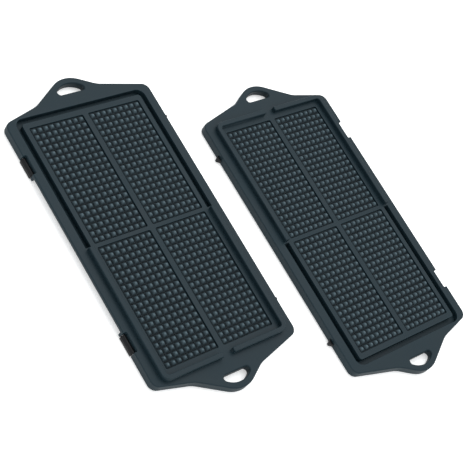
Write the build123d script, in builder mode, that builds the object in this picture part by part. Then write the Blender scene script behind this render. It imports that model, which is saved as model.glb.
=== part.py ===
from build123d import *
import os
from math import atan, atan2, cos, degrees, radians, tan

# A pair of tire traction mats, laid side by side with the grip face up, in millimetres.
# Each mat is a moulded frame with a loop handle at both ends, four studded rubber tread
# pads seated in the frame's pockets, two pinned latches along one long side and two claw
# hooks along the other. The far half of a mat has a groove round its panel and the near
# half a matching tongue, so two mats close face to face. The second mat is the same part
# turned half a turn about the vertical.
#
# Mat axes: X across (latches at -X, hooks at +X), Y along (groove half at +Y), Z up from
# the ground that the cleats stand on. Z 0 is the ground.

os.makedirs("parts", exist_ok=True)

# ---- outline ------------------------------------------------------------------------
half_width = 107.5          # mat centre to either long side
latch_corner_reach = 178.5  # mat centre to the latch side's corners, along Y
hook_side_extra = 6.0       # the hook side's corners reach this much further
end_slope = 14.0            # degrees that an end edge rises towards the handle
flank_slope = 31.0          # degrees that a handle's flanks rise
handle_rise = 40.5          # top of a handle's arch beyond the latch side's corners
corner_radius = 11.0        # plan radius of the four corners
foot_radius = 36.0          # plan radius where the end edge turns up into the handle
arch_radius = 36.0          # plan radius of the handle's arch

# ---- frame section ------------------------------------------------------------------
skirt_clear = 2.0           # ground to the lower edge of the skirt
rim_height = 11.0           # lower edge of the skirt to the top face
wall = 3.0                  # skirt, notch and channel walls
flange_thickness = 3.4      # plate outside the panel
panel_thickness = 7.0       # plate that holds the groove and the pockets
rim_round = 1.6             # round on the top outer edge

# ---- handles ------------------------------------------------------------------------
hole_width = 49.0
hole_height = 13.2
hole_corner = 4.0
handle_band = 8.2           # handle between its hole and its outer edge
hole_round = 1.8            # round on the hole's edges

# ---- tread pads ---------------------------------------------------------------------
stud_pitch = 8.5            # stud spacing both ways
stud_flat = 2.4             # flat on top of a stud
stud_gap = 1.2              # floor between two studs
stud_height = 3.9           # stud above the pad's web
stud_proud = 1.3            # stud tops above the frame's top face
pad_web = 1.4               # rubber under the studs
least_border = 1.0          # outermost studs' feet to the pad's edge, at the least
pad_corner = 2.0            # plan radius of a pocket's corners
pad_fit = 0.0               # pocket wall to pad: a snug fit
spine_width = 7.6           # long rib between the pads
cross_rib = 5.2             # short rib between the pads
side_margin = 6.5           # pad to groove wall, along X
end_margin = 7.2            # pad to groove wall, along Y

# ---- groove and tongue --------------------------------------------------------------
side_flange = 16.0          # mat's long side to the track's centre line
end_flange = 2.5            # latch side's corner reach to the track's centre line, along Y
track_radius = 7.5          # centre-line radius at the corners
track_start = 1.0           # mat's cross line to the end of the groove or tongue
groove_width = 7.4
groove_depth = 8.0
groove_floor = 1.6          # plate under the groove
tongue_clearance = 0.5      # groove wall to tongue, each side
tongue_height = 6.8
tongue_round = 1.2          # round on the tongue's top edges
tongue_break = 17.0         # gap in the tongue at the middle of the end

# ---- latches and their pins ---------------------------------------------------------
latch_to_corner = 58.2      # latch to its side's corner reach, along Y
notch_length = 25.6
notch_corner = 1.5
relief_height = 6.3         # skirt cut back between the latches
relief_margin = 0.5         # relief to the notch's end walls
pin_diameter = 2.4
pin_bite = 2.6              # pin length held in each end wall
pin_inset = 2.5             # pin axis inside the mat's long side
pin_lift = 4.0              # pin axis above the skirt's lower edge
pin_clearance = 0.1         # latch bore to pin, all round
latch_play = 0.8            # latch to each end wall of the notch
barrel_radius = 2.5
barrel_clearance = 0.3      # barrel to the back of the notch
arm_thickness = 2.2
latch_drop = 4.8            # lowest point of the latch below its pin's axis
lip_thickness = 1.5
lip_reach = 2.6             # lip beyond the arm, towards the mat
latch_proud = 0.7           # arm's outer face beyond the mat's long side

# ---- hooks --------------------------------------------------------------------------
hook_to_corner = 48.1       # hook to its side's corner reach, along Y
hook_base = 9.0             # claw length along the skirt
hook_reach = 5.0            # claw beyond the skirt
hook_nose = 2.2             # width of the claw's nose
hook_lift = 0.4             # claw's lower face above the skirt's lower edge
claw_drop = 5.4             # claw's upper face below the mat's top face
stem_y = 4.4                # stem through the skirt
stem_z = 3.6
head_y = 7.4                # staked head inside the skirt
head_step = 0.2             # head lower than the claw, above and below
head_thickness = 1.6

# ---- ground cleats ------------------------------------------------------------------
cleat_length = 46.0
cleat_root = 6.5
cleat_tip = 3.5
cleat_pitch_x = 60.0
cleat_pitch_y = 25.5
cleat_margin = 14.0         # outermost cleats to the skirt, at the least

# ---- pair ---------------------------------------------------------------------------
mat_gap = 43.0              # one mat's long side to the other's
pair_shift_y = -77.0        # first mat's centre to the second's, along Y

# ---- worked out from the above ------------------------------------------------------
top = skirt_clear + rim_height
hook_corner_reach = latch_corner_reach + hook_side_extra
handle_reach = latch_corner_reach + handle_rise
panel_base = top - panel_thickness
flange_base = top - flange_thickness
pocket_floor = top + stud_proud - stud_height - pad_web
track_x = half_width - side_flange
track_y = latch_corner_reach - end_flange
pad_x = track_x - groove_width / 2 - side_margin - spine_width / 2 - 2 * pad_fit
pad_y = track_y - groove_width / 2 - end_margin - cross_rib / 2 - 2 * pad_fit
stud_foot = stud_pitch - stud_gap
stud_columns = int((pad_x - 2 * least_border + stud_gap) // stud_pitch)
stud_rows = int((pad_y - 2 * least_border + stud_gap) // stud_pitch)
pad_centre_x = spine_width / 2 + pad_fit + pad_x / 2
pad_centre_y = cross_rib / 2 + pad_fit + pad_y / 2
tongue_width = groove_width - 2 * tongue_clearance
panel_x = track_x + groove_width / 2 + wall
panel_y = track_y + groove_width / 2 + wall
hole_base_y = handle_reach - handle_band - hole_height
cavity_reach = hole_base_y - wall
station_y = latch_corner_reach - latch_to_corner
notch_depth = pin_inset + barrel_radius + barrel_clearance
notch_wall_x = half_width - notch_depth
latch_length = notch_length - 2 * latch_play
pin_length = notch_length + 2 * pin_bite
pin_x = half_width - pin_inset
pin_z = skirt_clear + pin_lift
hook_y = hook_corner_reach - hook_to_corner
hook_height = rim_height - hook_lift - claw_drop
hook_mid_z = skirt_clear + hook_lift + hook_height / 2
head_z = hook_height - 2 * head_step
cleat_room_x = half_width - wall - cleat_margin
cleat_columns = int((2 * cleat_room_x - cleat_length) // cleat_pitch_x) + 1
cleat_room_y = latch_corner_reach - wall - cleat_margin
cleat_row_pairs = int(cleat_room_y // cleat_pitch_y)
pair_shift_x = 2 * half_width + mat_gap
halves = {"groove": 1, "tongue": -1}
sides = {"latch": -1, "hook": 1}


def outline_corners(inset=0.0):
    """Corners of the mat's plan moved in by `inset`, each with its plan radius."""
    rise = tan(radians(end_slope))
    flank = tan(radians(flank_slope))
    peak_drop = inset / cos(radians(flank_slope))
    peak = handle_reach + arch_radius * (1 / cos(radians(flank_slope)) - 1) - peak_drop
    side = half_width - inset
    end_drop = inset / cos(radians(end_slope)) - rise * inset
    latch_end = latch_corner_reach - end_drop
    hook_end = hook_corner_reach - end_drop
    latch_foot_x = -(peak - latch_end - rise * side) / (flank - rise)
    hook_foot_x = (peak - hook_end - rise * side) / (flank - rise)
    far_end = [
        (-side, latch_end, corner_radius - inset),
        (latch_foot_x, peak + flank * latch_foot_x, foot_radius + inset),
        (0, peak, arch_radius - inset),
        (hook_foot_x, peak - flank * hook_foot_x, foot_radius + inset),
        (side, hook_end, corner_radius - inset),
    ]
    near_end = [(x, -y, radius) for x, y, radius in reversed(far_end)]
    return far_end + near_end


def draw_outline(inset=0.0):
    """Closed line round the mat's plan: long sides, sloping ends and handle arches."""
    corners = outline_corners(inset)
    points = [(x, y) for x, y, _ in corners]
    return FilletPolyline(*points, radius=[radius for _, _, radius in corners], close=True)


def draw_track(width, side, start=track_start):
    """U of the groove or tongue on one half of the mat; side is 1 at +Y, -1 at -Y."""
    out_x = 2 * track_x + width
    out_y = 2 * track_y + width
    RectangleRounded(out_x, out_y, track_radius + width / 2)
    RectangleRounded(
        out_x - 2 * width, out_y - 2 * width, track_radius - width / 2, mode=Mode.SUBTRACT
    )
    with Locations((0, side * (start + out_y / 2))):
        Rectangle(out_x, out_y, mode=Mode.INTERSECT)


# ---- frame: rim, handles, panel, groove, tongue, pockets, notches, cleats ------------
with BuildPart() as frame:
    with BuildSketch(Plane.XY.offset(skirt_clear)):
        with BuildLine():
            draw_outline()
        make_face()
    extrude(amount=rim_height)
    fillet(frame.edges().group_by(Axis.Z)[-1], radius=rim_round)

    # loop handles
    with BuildSketch(Plane.XY.offset(skirt_clear)) as handle_holes:
        for end in halves.values():
            with BuildLine():
                base = Line((-hole_width / 2, end * hole_base_y), (hole_width / 2, end * hole_base_y))
                ThreePointArc(base @ 1, (0, end * (hole_base_y + hole_height)), base @ 0)
            make_face()
        fillet(handle_holes.vertices(), radius=hole_corner)
    extrude(amount=rim_height, mode=Mode.SUBTRACT)
    hole_edges = [
        edge
        for edge in frame.edges().filter_by(GeomType.LINE).filter_by(Axis.X)
        if abs(abs(edge.center().Y) - hole_base_y) < 0.01
    ]
    fillet(hole_edges, radius=hole_round)

    # underside hollow below the panel, and the shallower channel outside it
    with BuildSketch(Plane.XY.offset(skirt_clear)):
        with BuildLine():
            draw_outline(wall)
        make_face()
        Rectangle(2 * half_width, 2 * cavity_reach, mode=Mode.INTERSECT)
    extrude(amount=panel_base - skirt_clear, mode=Mode.SUBTRACT)
    with BuildSketch(Plane.XY.offset(panel_base)):
        with BuildLine():
            draw_outline(wall)
        make_face()
        Rectangle(2 * half_width, 2 * cavity_reach, mode=Mode.INTERSECT)
        RectangleRounded(2 * panel_x, 2 * panel_y, track_radius + wall, mode=Mode.SUBTRACT)
    extrude(amount=flange_base - panel_base, mode=Mode.SUBTRACT)

    # groove in one half, in a channel that hangs below the panel, and tongue on the other
    groove_base = top - groove_depth - groove_floor
    with BuildSketch(Plane.XY.offset(groove_base)):
        draw_track(groove_width + 2 * wall, halves["groove"], track_start - wall)
    extrude(amount=panel_base - groove_base)
    with BuildSketch(Plane.XY.offset(top - groove_depth)):
        draw_track(groove_width, halves["groove"])
    extrude(amount=groove_depth, mode=Mode.SUBTRACT)
    with BuildSketch(Plane.XY.offset(top)):
        draw_track(tongue_width, halves["tongue"])
        with Locations((0, halves["tongue"] * track_y)):
            Rectangle(tongue_break, 2 * tongue_width, mode=Mode.SUBTRACT)
    extrude(amount=tongue_height)
    fillet(frame.edges().group_by(Axis.Z)[-1], radius=tongue_round)

    # pockets for the tread pads
    with BuildSketch(Plane.XY.offset(pocket_floor)):
        with GridLocations(2 * pad_centre_x, 2 * pad_centre_y, 2, 2):
            RectangleRounded(pad_x + 2 * pad_fit, pad_y + 2 * pad_fit, pad_corner)
    extrude(amount=top - pocket_floor, mode=Mode.SUBTRACT)

    # notches for the latches, walled off from the channel, with bores for the pins
    lug_x = notch_wall_x - wall
    lug_depth = half_width - wall / 2 - lug_x
    with BuildSketch(Plane.XY.offset(skirt_clear)):
        with GridLocations(0, 2 * station_y, 1, 2):
            with Locations((-(lug_x + lug_depth / 2), 0)):
                Rectangle(lug_depth, notch_length + 2 * wall)
    extrude(amount=flange_base - skirt_clear)
    with BuildSketch(Plane.XY) as notches:
        with GridLocations(0, 2 * station_y, 1, 2):
            with Locations((-(notch_wall_x + notch_depth), 0)):
                RectangleRounded(2 * notch_depth, notch_length, notch_corner)
    extrude(amount=top, mode=Mode.SUBTRACT)
    for end in halves.values():
        with BuildSketch(Plane.XZ.offset(end * station_y - pin_length / 2)):
            with Locations((-pin_x, pin_z)):
                Circle(pin_diameter / 2)
        extrude(amount=pin_length, mode=Mode.SUBTRACT)

    # skirt cut back between the latches
    relief_length = 2 * (station_y - notch_length / 2 - wall - relief_margin)
    with BuildSketch(Plane.XY.offset(skirt_clear)):
        with Locations((-half_width, 0)):
            Rectangle(2 * wall, relief_length)
    extrude(amount=relief_height, mode=Mode.SUBTRACT)

    # slots for the hooks' stems
    with BuildSketch(Plane.YZ.offset(half_width - wall)):
        with Locations((-hook_y, hook_mid_z), (hook_y, hook_mid_z)):
            Rectangle(stem_y, stem_z)
    extrude(amount=wall, mode=Mode.SUBTRACT)

    # ground cleats, in staggered rows of three and two bars
    cleat_taper = degrees(atan((cleat_root - cleat_tip) / 2 / panel_base))
    with BuildSketch(Plane((0, 0, panel_base), x_dir=(1, 0, 0), z_dir=(0, 0, -1))):
        for row in range(-cleat_row_pairs, cleat_row_pairs + 1):
            with Locations((0, row * cleat_pitch_y)):
                with GridLocations(cleat_pitch_x, 0, cleat_columns - row % 2, 1):
                    Rectangle(cleat_length, cleat_root)
    extrude(amount=panel_base, taper=cleat_taper)

# ---- tread pad: ribbed one way, cut by the same ribs the other way ------------------
side_angle = degrees(atan2(stud_height, (stud_foot - stud_flat) / 2))
with BuildPart() as pad:
    with BuildSketch(Plane.XZ.offset(-pad_y / 2)):
        with Locations((0, pocket_floor)):
            Rectangle(pad_x, pad_web, align=(Align.CENTER, Align.MIN))
        with Locations((0, pocket_floor + pad_web)):
            with GridLocations(stud_pitch, 0, stud_columns, 1):
                Trapezoid(stud_foot, stud_height, side_angle, align=(Align.CENTER, Align.MIN))
    extrude(amount=pad_y)
    with BuildSketch(Plane.YZ.offset(-pad_x / 2)):
        with Locations((0, pocket_floor)):
            Rectangle(pad_y, pad_web, align=(Align.CENTER, Align.MIN))
        with Locations((0, pocket_floor + pad_web)):
            with GridLocations(stud_pitch, 0, stud_rows, 1):
                Trapezoid(stud_foot, stud_height, side_angle, align=(Align.CENTER, Align.MIN))
    extrude(amount=pad_x, mode=Mode.INTERSECT)
    fillet(pad.edges().filter_by(Axis.Z), radius=pad_corner)

# ---- latch: barrel on the pin, arm hanging down, lip turned in at its foot ----------
with BuildPart() as latch:
    arm_outer = pin_inset + latch_proud
    with BuildSketch(Plane.XZ.offset(-latch_length / 2)):
        Circle(barrel_radius)
        with Locations((-arm_outer, 0)):
            Rectangle(arm_thickness, latch_drop, align=(Align.MIN, Align.MAX))
        with Locations((-arm_outer, -latch_drop)):
            Rectangle(arm_thickness + lip_reach, lip_thickness, align=(Align.MIN, Align.MIN))
        Circle(pin_diameter / 2 + pin_clearance, mode=Mode.SUBTRACT)
    extrude(amount=latch_length)

# ---- latch pin ----------------------------------------------------------------------
with BuildPart() as latch_pin:
    with BuildSketch(Plane.XZ.offset(-pin_length / 2)):
        Circle(pin_diameter / 2)
    extrude(amount=pin_length)

# ---- hook: pointed claw outside the skirt, stem through it, staked head inside ------
with BuildPart() as hook:
    with BuildSketch(Plane.XY.offset(-hook_height / 2)):
        with BuildLine():
            Polyline(
                (0, -hook_base / 2),
                (hook_reach, -hook_nose / 2),
                (hook_reach, hook_nose / 2),
                (0, hook_base / 2),
                close=True,
            )
        make_face()
    extrude(amount=hook_height)
    with BuildSketch(Plane.YZ.offset(-wall)):
        Rectangle(stem_y, stem_z)
    extrude(amount=wall)
    with BuildSketch(Plane.YZ.offset(-wall - head_thickness)):
        Rectangle(head_y, head_z)
    extrude(amount=head_thickness)

# ---- the pair: the second mat is the first, turned half a turn ----------------------
mats = {
    "left_mat": Location((-pair_shift_x / 2, -pair_shift_y / 2, 0)),
    "right_mat": Location((pair_shift_x / 2, pair_shift_y / 2, 0), (0, 0, 180)),
}


def write_piece(shape, name):
    """Label a placed piece and write it as its own STEP file."""
    shape.label = name
    export_step(shape, f"parts/{name}.step")


for mat, place in mats.items():
    write_piece(frame.part.moved(place), f"{mat}_frame")
    for half, end in halves.items():
        for side, across in sides.items():
            seat = Location((across * pad_centre_x, end * pad_centre_y, 0))
            write_piece(pad.part.moved(place * seat), f"{mat}_{half}_{side}_pad")
        pivot = Location((-pin_x, end * station_y, pin_z))
        write_piece(latch.part.moved(place * pivot), f"{mat}_{half}_latch")
        write_piece(latch_pin.part.moved(place * pivot), f"{mat}_{half}_latch_pin")
        claw = Location((half_width, end * hook_y, hook_mid_z))
        write_piece(hook.part.moved(place * claw), f"{mat}_{half}_hook")
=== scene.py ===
from math import cos, inf, radians, sin

import bmesh
import bpy
from mathutils import Matrix, Vector


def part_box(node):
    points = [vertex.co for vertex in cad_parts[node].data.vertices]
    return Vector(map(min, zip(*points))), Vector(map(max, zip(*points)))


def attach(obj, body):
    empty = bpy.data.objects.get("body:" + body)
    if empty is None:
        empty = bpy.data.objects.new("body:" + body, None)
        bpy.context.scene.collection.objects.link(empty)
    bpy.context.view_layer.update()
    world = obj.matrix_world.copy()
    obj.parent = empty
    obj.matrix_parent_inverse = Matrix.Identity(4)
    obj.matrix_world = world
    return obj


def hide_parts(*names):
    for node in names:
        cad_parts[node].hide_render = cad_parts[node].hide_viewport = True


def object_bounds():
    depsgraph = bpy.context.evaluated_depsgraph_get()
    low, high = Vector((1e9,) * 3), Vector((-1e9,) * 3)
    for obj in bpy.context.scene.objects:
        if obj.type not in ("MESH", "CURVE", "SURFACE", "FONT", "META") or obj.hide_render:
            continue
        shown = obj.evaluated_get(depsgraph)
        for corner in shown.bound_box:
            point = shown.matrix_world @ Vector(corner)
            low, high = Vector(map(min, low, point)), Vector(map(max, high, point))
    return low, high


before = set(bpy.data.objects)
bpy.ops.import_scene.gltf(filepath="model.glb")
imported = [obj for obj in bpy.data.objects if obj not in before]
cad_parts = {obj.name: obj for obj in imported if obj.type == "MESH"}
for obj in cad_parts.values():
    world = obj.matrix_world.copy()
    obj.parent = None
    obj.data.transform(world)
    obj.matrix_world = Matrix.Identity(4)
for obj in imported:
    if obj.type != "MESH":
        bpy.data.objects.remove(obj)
cad_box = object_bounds()

# ---- mat frames ----------------------------------------------------------------------
# One injection moulding a mat, in charcoal polypropylene: rim, two loop handles, panel,
# ribs, groove, tongue, skirt and ground cleats. The tool is cut with a small round for every
# outward edge, so the piece is the CAD frame with those edges broken.
mats = ("left_mat", "right_mat")
frame_edge_round = 0.00045
tongue_round = 0.0012          # already in the frame, where the tongue's top meets its sides
same_place = 0.000002          # two points nearer than this are one
same_plane = radians(0.5)      # faces that turn less than this are one flat
sharp_corner = radians(28)     # edges that turn more than this get a round
shaded_corner = radians(50)    # edges that still turn this much are shaded sharp


def linear(hex_colour):
    """Linear RGBA of an sRGB colour such as '39464d'."""
    channels = [int(hex_colour[i:i + 2], 16) / 255 for i in (0, 2, 4)]
    return [c / 12.92 if c <= 0.04045 else ((c + 0.055) / 1.055) ** 2.4 for c in channels] + [1]


def add(material, kind, inputs=None, **settings):
    """Adds a node: settings are its properties, inputs its sockets' values or their links."""
    node = material.node_tree.nodes.new(kind)
    for name, value in settings.items():
        setattr(node, name, value)
    for socket, value in (inputs or {}).items():
        if isinstance(value, bpy.types.NodeSocket):
            material.node_tree.links.new(value, node.inputs[socket])
        else:
            node.inputs[socket].default_value = value
    return node


def new_material(name):
    """A node material with no nodes yet."""
    material = bpy.data.materials.new(name)
    material.use_nodes = True
    material.node_tree.nodes.clear()
    return material


def finish_surface(material, **sockets):
    """Gives a material its shader: each name is a socket's, with _ for a space."""
    inputs = {name.replace("_", " "): value for name, value in sockets.items()}
    shader = add(material, "ShaderNodeBsdfPrincipled", inputs)
    add(material, "ShaderNodeOutputMaterial", {"Surface": shader.outputs[0]})


def rounded_copy(node, name, edge_round, round_below=inf):
    """A copy of a CAD node, its flats whole again and its sharp outward edges rounded.

    Edges that lie wholly above the height round_below are left as they are.
    """
    bm = bmesh.new()
    bm.from_mesh(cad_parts[node].data)
    bmesh.ops.remove_doubles(bm, verts=bm.verts, dist=same_place)
    bmesh.ops.dissolve_limit(bm, angle_limit=same_plane, verts=bm.verts, edges=bm.edges)
    sharp = [
        edge for edge in bm.edges
        if edge.is_manifold
        and edge.is_convex
        and edge.calc_face_angle() > sharp_corner
        and min(vert.co.z for vert in edge.verts) < round_below
    ]
    bmesh.ops.bevel(
        bm, geom=sharp, offset=edge_round, offset_type="OFFSET", segments=2, profile=0.5,
        affect="EDGES", clamp_overlap=False, loop_slide=False, material=-1,
    )
    return finished_piece(bm, name)


def finished_piece(bm, name):
    """Turns a bmesh into an object with smooth rounds and flat flats."""
    for face in bm.faces:
        face.smooth = True
    mesh = bpy.data.meshes.new(name)
    bm.to_mesh(mesh)
    bm.free()
    mesh.set_sharp_from_angle(angle=shaded_corner)
    piece = bpy.data.objects.new(name, mesh)
    bpy.context.scene.collection.objects.link(piece)
    flats = piece.modifiers.new("flat_faces", "WEIGHTED_NORMAL")
    flats.keep_sharp = True
    return piece


# Polypropylene with carbon black and a little blue, moulded in a spark-eroded tool: a satin
# skin with a fine even grain, faint flow clouding, and edges painted a shade paler as a painted
# highlight.
polypropylene = new_material("charcoal_polypropylene_spark_grain")
dark_charcoal = linear("102027")
pale_charcoal = linear("182a31")
# The paler charcoal below is painted on the edges as a painted highlight.
edge_highlight_charcoal = linear("2c3e46")
grain_width = 0.0011       # real grain is 0.2 mm; drawn coarser so that it shows at all
grain_depth = 0.00008
cloud_width = 0.055
edge_highlight_width = 0.0016
edge_highlight_starts = 0.99          # cosine of the angle that rounding turns the surface by
edge_highlight_full = 0.80
noise_low = 0.3            # nearly all of a noise pattern's values lie between these two
noise_high = 0.7
place = add(polypropylene, "ShaderNodeTexCoord").outputs["Object"]
clouds = add(polypropylene, "ShaderNodeTexNoise",
             {"Vector": place, "Scale": 1 / cloud_width, "Detail": 4.0, "Roughness": 0.6})
grain = add(polypropylene, "ShaderNodeTexNoise",
            {"Vector": place, "Scale": 1 / grain_width, "Detail": 2.0, "Roughness": 0.7})
rounded_normal = add(polypropylene, "ShaderNodeBevel", {"Radius": edge_highlight_width}, samples=4)
true_normal = add(polypropylene, "ShaderNodeNewGeometry").outputs["Normal"]
turned = add(polypropylene, "ShaderNodeVectorMath",
             {0: rounded_normal.outputs[0], 1: true_normal}, operation="DOT_PRODUCT")
# Painted highlight: a mask of the rounded edges, broken up by the clouds, paints them paler.
near_edge = add(polypropylene, "ShaderNodeMapRange",
                {"Value": turned.outputs["Value"], "From Min": edge_highlight_starts, "From Max": edge_highlight_full})
edge_highlight = add(polypropylene, "ShaderNodeMath",
          {0: near_edge.outputs[0], 1: clouds.outputs["Fac"]}, operation="MULTIPLY")
clouded = add(polypropylene, "ShaderNodeMix",
              {"Factor": clouds.outputs["Fac"], "A": dark_charcoal, "B": pale_charcoal},
              data_type="RGBA")
coloured = add(polypropylene, "ShaderNodeMix",
               {"Factor": edge_highlight.outputs[0], "A": clouded.outputs[2], "B": edge_highlight_charcoal},
               data_type="RGBA")
satin = add(polypropylene, "ShaderNodeMapRange",
            {"Value": clouds.outputs["Fac"], "From Min": noise_low, "From Max": noise_high,
             "To Min": 0.50, "To Max": 0.60})
grained = add(polypropylene, "ShaderNodeBump",
              {"Height": grain.outputs["Fac"], "Strength": 0.35, "Distance": grain_depth})
finish_surface(polypropylene, Base_Color=coloured.outputs[2], Roughness=satin.outputs[0],
               IOR=1.49, Specular_IOR_Level=0.22, Normal=grained.outputs[0])

for mat in mats:
    round_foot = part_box(f"{mat}_frame")[1].z - tongue_round
    moulding = rounded_copy(f"{mat}_frame", f"{mat}_moulding", frame_edge_round, round_foot)
    moulding.data.materials.append(polypropylene)
    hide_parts(f"{mat}_frame")
    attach(moulding, mat)

# ---- tread pads ----------------------------------------------------------------------
# Four compression-moulded rubber inserts a mat: blunt four-sided studs on a thin web, seated
# in the frame's pockets. Every stud's edge is soft, as the mould leaves it.
halves = ("groove", "tongue")
sides = ("latch", "hook")
stud_pitch = 0.0085
stud_foot = 0.0073
stud_flat = 0.0024
stud_height = 0.0039
stud_soft = 0.0009             # round on a stud's edges
pad_corner = 0.002
least_border = 0.001           # outermost studs' feet to the pad's edge, at the least
nearly_full = 0.9              # share of a full size above which a face belongs to a stud
cut_tolerance = 0.0000001


def studded_pad(node, name):
    """A pad in the place of its CAD node: a sheet cut into cells, each stud inset and raised."""
    low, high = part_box(node)
    middle = (low + high) / 2
    size = high - low
    counts = [int((size[axis] - 2 * least_border + stud_pitch - stud_foot) // stud_pitch)
              for axis in (0, 1)]
    web_top = high.z - stud_height
    bm = bmesh.new()
    bmesh.ops.create_grid(bm, x_segments=1, y_segments=1, size=0.5)
    bmesh.ops.scale(bm, vec=(size.x, size.y, 1), verts=bm.verts)
    bmesh.ops.bevel(bm, geom=bm.verts[:], offset=pad_corner, offset_type="OFFSET", segments=5,
                    profile=0.5, affect="VERTICES", material=-1)
    bmesh.ops.translate(bm, vec=(middle.x, middle.y, web_top), verts=bm.verts)
    for axis, count in enumerate(counts):
        across = Vector((1, 0, 0)) if axis == 0 else Vector((0, 1, 0))
        for index in range(count):
            stud_at = middle[axis] + (index - (count - 1) / 2) * stud_pitch
            for cut_at in (stud_at - stud_foot / 2, stud_at + stud_foot / 2):
                bmesh.ops.bisect_plane(bm, geom=bm.verts[:] + bm.edges[:] + bm.faces[:],
                                       plane_co=across * cut_at, plane_no=across,
                                       dist=cut_tolerance)
    least_cell = (nearly_full * stud_foot) ** 2
    cells = [face for face in bm.faces if face.calc_area() > least_cell]
    bmesh.ops.inset_individual(bm, faces=cells, thickness=(stud_foot - stud_flat) / 2,
                               depth=stud_height, use_even_offset=True)
    near_top = web_top + nearly_full * stud_height
    tops = [face for face in bm.faces if face.calc_center_median().z > near_top]
    crown = {edge for face in tops for edge in face.edges}
    slants = {edge for face in tops for vert in face.verts for edge in vert.link_edges}
    bmesh.ops.bevel(bm, geom=list(crown | slants), offset=stud_soft, offset_type="OFFSET",
                    segments=2, profile=0.5, affect="EDGES", clamp_overlap=True, material=-1)
    rim = [edge for edge in bm.edges if edge.is_boundary]
    walls = bmesh.ops.extrude_edge_only(bm, edges=rim)["geom"]
    bottom = [vert for vert in walls if isinstance(vert, bmesh.types.BMVert)]
    bmesh.ops.translate(bm, vec=(0, 0, low.z - web_top), verts=bottom)
    under = [edge for edge in bm.edges if edge.is_boundary]
    bmesh.ops.edgeloop_fill(bm, edges=under)
    bmesh.ops.recalc_face_normals(bm, faces=bm.faces)
    return finished_piece(bm, name)


# Carbon-filled rubber close to the frame's colour: duller than the plastic, with fine pores,
# a faint cloudy bloom all over, and stud crowns painted paler as a painted highlight and made a
# little smoother.
rubber = new_material("moulded_tread_rubber")
dark_rubber = linear("141f24")
pale_rubber = linear("1d292f")
# The paler rubber below is painted on the stud crowns as a painted highlight.
crown_highlight_rubber = linear("52656d")
bloom_width = 0.030
pore_width = 0.0009            # real pores are 0.1 mm; drawn coarser so that they show at all
pore_depth = 0.00007
crown_fade_depth = 0.0031            # the painted crown highlight and the smoother crowns fade out this far below the crowns
most_crown_highlight = 0.7
crown_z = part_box("left_mat_groove_latch_pad")[1].z
place = add(rubber, "ShaderNodeTexCoord").outputs["Object"]
bloom = add(rubber, "ShaderNodeTexNoise",
            {"Vector": place, "Scale": 1 / bloom_width, "Detail": 5.0, "Roughness": 0.65})
pores = add(rubber, "ShaderNodeTexNoise",
            {"Vector": place, "Scale": 1 / pore_width, "Detail": 2.0, "Roughness": 0.6})
bloomed = add(rubber, "ShaderNodeMix",
              {"Factor": bloom.outputs["Fac"], "A": dark_rubber, "B": pale_rubber},
              data_type="RGBA")
height = add(rubber, "ShaderNodeSeparateXYZ", {"Vector": place}).outputs["Z"]
# Painted highlight: the crowns are painted paler, fading out below them.
crowns = add(rubber, "ShaderNodeMapRange",
             {"Value": height, "From Min": crown_z - crown_fade_depth, "From Max": crown_z,
              "To Max": most_crown_highlight})
crowned = add(rubber, "ShaderNodeMix",
              {"Factor": crowns.outputs[0], "A": bloomed.outputs[2], "B": crown_highlight_rubber},
              data_type="RGBA")
polish = add(rubber, "ShaderNodeMapRange",
             {"Value": height, "From Min": crown_z - crown_fade_depth, "From Max": crown_z,
              "To Min": 0.68, "To Max": 0.50})
pored = add(rubber, "ShaderNodeBump",
            {"Height": pores.outputs["Fac"], "Strength": 0.3, "Distance": pore_depth})
finish_surface(rubber, Base_Color=crowned.outputs[2], Roughness=polish.outputs[0],
               IOR=1.52, Specular_IOR_Level=0.25, Normal=pored.outputs[0])

for mat in mats:
    for half in halves:
        for side in sides:
            node = f"{mat}_{half}_{side}_pad"
            pad = studded_pad(node, f"{mat}_{half}_{side}_tread")
            pad.data.materials.append(rubber)
            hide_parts(node)
            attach(pad, mat)

# ---- latch pins ----------------------------------------------------------------------
# Cut lengths of stainless wire, pressed into the notch walls, one for each latch to turn on.
# Drawing through a die leaves it bright, with faint lines along its length.
wire = new_material("drawn_stainless_wire")
dull_steel = linear("a6a8a9")
bright_steel = linear("c9cac8")
line_width = 0.0002            # real lines are 0.02 mm; drawn coarser so that they show at all
line_length = 0.008
line_depth = 0.00002
place = add(wire, "ShaderNodeTexCoord").outputs["Object"]
along = add(wire, "ShaderNodeMapping",
            {"Vector": place, "Scale": (1 / line_width, 1 / line_length, 1 / line_width)})
lines = add(wire, "ShaderNodeTexNoise",
            {"Vector": along.outputs[0], "Scale": 1.0, "Detail": 3.0})
lined = add(wire, "ShaderNodeMapRange",
            {"Value": lines.outputs["Fac"], "From Min": noise_low, "From Max": noise_high,
             "To Min": 0.24, "To Max": 0.42})
tinted = add(wire, "ShaderNodeMix",
             {"Factor": lines.outputs["Fac"], "A": dull_steel, "B": bright_steel},
             data_type="RGBA")
drawn = add(wire, "ShaderNodeBump",
            {"Height": lines.outputs["Fac"], "Strength": 0.3, "Distance": line_depth})
finish_surface(wire, Base_Color=tinted.outputs[2], Metallic=1.0, Roughness=lined.outputs[0],
               Normal=drawn.outputs[0])

for mat in mats:
    for half in halves:
        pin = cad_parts[f"{mat}_{half}_latch_pin"]
        pin.data.materials[0] = wire

# ---- latches and hooks ---------------------------------------------------------------
# Small catches, injection moulded apart from the frame in a harder plastic: two latches a
# mat that turn on the pins, and two claws staked through the skirt.
catch_edge_round = 0.00035

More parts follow.
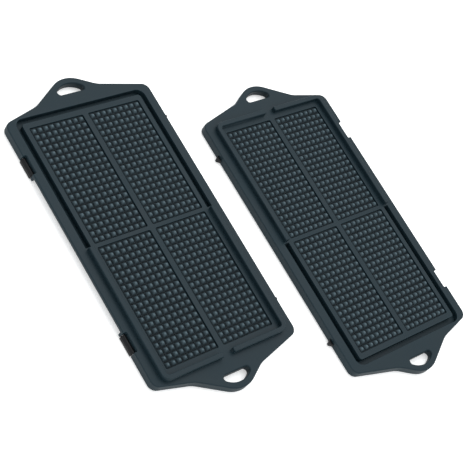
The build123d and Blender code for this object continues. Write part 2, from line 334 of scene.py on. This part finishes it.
# Nylon with carbon black, from a plain machined tool: nearly black, as satin as the frame or
# a touch smoother, with fine specks and patches smoothed by handling.
nylon = new_material("black_moulded_nylon")
deep_black = linear("05070a")
handled_black = linear("0b0e11")
speck_width = 0.0008           # real specks are 0.2 mm; drawn coarser so that they show at all
speck_depth = 0.00005
handling_width = 0.009
place = add(nylon, "ShaderNodeTexCoord").outputs["Object"]
specks = add(nylon, "ShaderNodeTexNoise",
             {"Vector": place, "Scale": 1 / speck_width, "Detail": 3.0, "Roughness": 0.6})
handling = add(nylon, "ShaderNodeTexNoise",
               {"Vector": place, "Scale": 1 / handling_width, "Detail": 3.0, "Roughness": 0.5})
inked = add(nylon, "ShaderNodeMix",
            {"Factor": handling.outputs["Fac"], "A": deep_black, "B": handled_black},
            data_type="RGBA")
sheen = add(nylon, "ShaderNodeMapRange",
            {"Value": handling.outputs["Fac"], "From Min": noise_low, "From Max": noise_high,
             "To Min": 0.42, "To Max": 0.56})
specked = add(nylon, "ShaderNodeBump",
              {"Height": specks.outputs["Fac"], "Strength": 0.25, "Distance": speck_depth})
finish_surface(nylon, Base_Color=inked.outputs[2], Roughness=sheen.outputs[0], IOR=1.53,
               Specular_IOR_Level=0.2, Normal=specked.outputs[0])

for mat in mats:
    for half in halves:
        latch = rounded_copy(f"{mat}_{half}_latch", f"{mat}_{half}_latch_tab", catch_edge_round)
        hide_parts(f"{mat}_{half}_latch")
        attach(latch, f"{mat}_{half}_latch_body")
        hook = rounded_copy(f"{mat}_{half}_hook", f"{mat}_{half}_claw", catch_edge_round)
        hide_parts(f"{mat}_{half}_hook")
        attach(hook, mat)
        for catch in (latch, hook):
            catch.data.materials.append(nylon)

# ---- floor ---------------------------------------------------------------------------
# A table of white acrylic, lit evenly from below, with a barely visible mottle. It keeps the
# shadows faint.
floor_half = 4.0
bm = bmesh.new()
bmesh.ops.create_grid(bm, x_segments=1, y_segments=1, size=floor_half)
mesh = bpy.data.meshes.new("studio_floor")
bm.to_mesh(mesh)
bm.free()
floor = bpy.data.objects.new("studio_floor", mesh)
bpy.context.scene.collection.objects.link(floor)
acrylic = new_material("backlit_white_acrylic")
white = linear("f4f4f3")
brighter_white = linear("f9f9f8")
glow = linear("ffffff")
mottle_width = 0.02
place = add(acrylic, "ShaderNodeTexCoord").outputs["Object"]
mottle = add(acrylic, "ShaderNodeTexNoise",
             {"Vector": place, "Scale": 1 / mottle_width, "Detail": 4.0})
mottled = add(acrylic, "ShaderNodeMix",
              {"Factor": mottle.outputs["Fac"], "A": white, "B": brighter_white},
              data_type="RGBA")
finish_surface(acrylic, Base_Color=mottled.outputs[2], Roughness=0.6,
               Emission_Color=glow, Emission_Strength=0.42)
floor.data.materials.append(acrylic)

# ---- lights --------------------------------------------------------------------------
# One large soft key high behind the mats, a weak fill from the camera's side, and a pale
# room all round.
centre = (cad_box[0] + cad_box[1]) / 2


def direction(azimuth, elevation):
    """Unit vector from the object towards an azimuth, 0 at -Y and 90 at +X, and an elevation."""
    return Vector((
        sin(radians(azimuth)) * cos(radians(elevation)),
        -cos(radians(azimuth)) * cos(radians(elevation)),
        sin(radians(elevation)),
    ))


def softbox(name, azimuth, elevation, distance, width, power):
    """A square area light aimed at the pair's middle."""
    lamp = bpy.data.lights.new(name, "AREA")
    lamp.size = width
    lamp.energy = power
    holder = bpy.data.objects.new(name, lamp)
    away = direction(azimuth, elevation)
    holder.location = centre + away * distance
    holder.rotation_euler = away.to_track_quat("Z", "Y").to_euler()
    bpy.context.scene.collection.objects.link(holder)


softbox("key_softbox", azimuth=125, elevation=66, distance=2.2, width=1.8, power=26)
softbox("fill_softbox", azimuth=-20, elevation=40, distance=2.6, width=1.5, power=6)
room = bpy.data.worlds.new("pale_room")
room.use_nodes = True
room_light = room.node_tree.nodes["Background"].inputs
room_light["Color"].default_value = linear("f2f5f7")
room_light["Strength"].default_value = 1.0
bpy.context.scene.world = room
bpy.context.scene.view_settings.view_transform = "Standard"

# ---- camera --------------------------------------------------------------------------
# A long lens, high on the side of the left mat that has its latches, and rolled so that the
# mats lie at a slant.
view_azimuth = -68.6366
view_elevation = 48.7140
view_roll = 42.5155
view_distance = 1.6003
view_target = Vector((-0.0269, -0.0063, 0.0133))
focal_length = 100.566         # this and the sensor's width are in millimetres
sensor_width = 36
camera_data = bpy.data.cameras.new("camera")
camera_data.lens = focal_length
camera_data.sensor_width = sensor_width
camera = bpy.data.objects.new("camera", camera_data)
away = direction(view_azimuth, view_elevation)
aimed = away.to_track_quat("Z", "Y").to_matrix().to_4x4()
camera.matrix_world = (
    Matrix.Translation(view_target + away * view_distance)
    @ aimed
    @ Matrix.Rotation(radians(view_roll), 4, "Z")
)
bpy.context.scene.collection.objects.link(camera)
bpy.context.scene.camera = camera
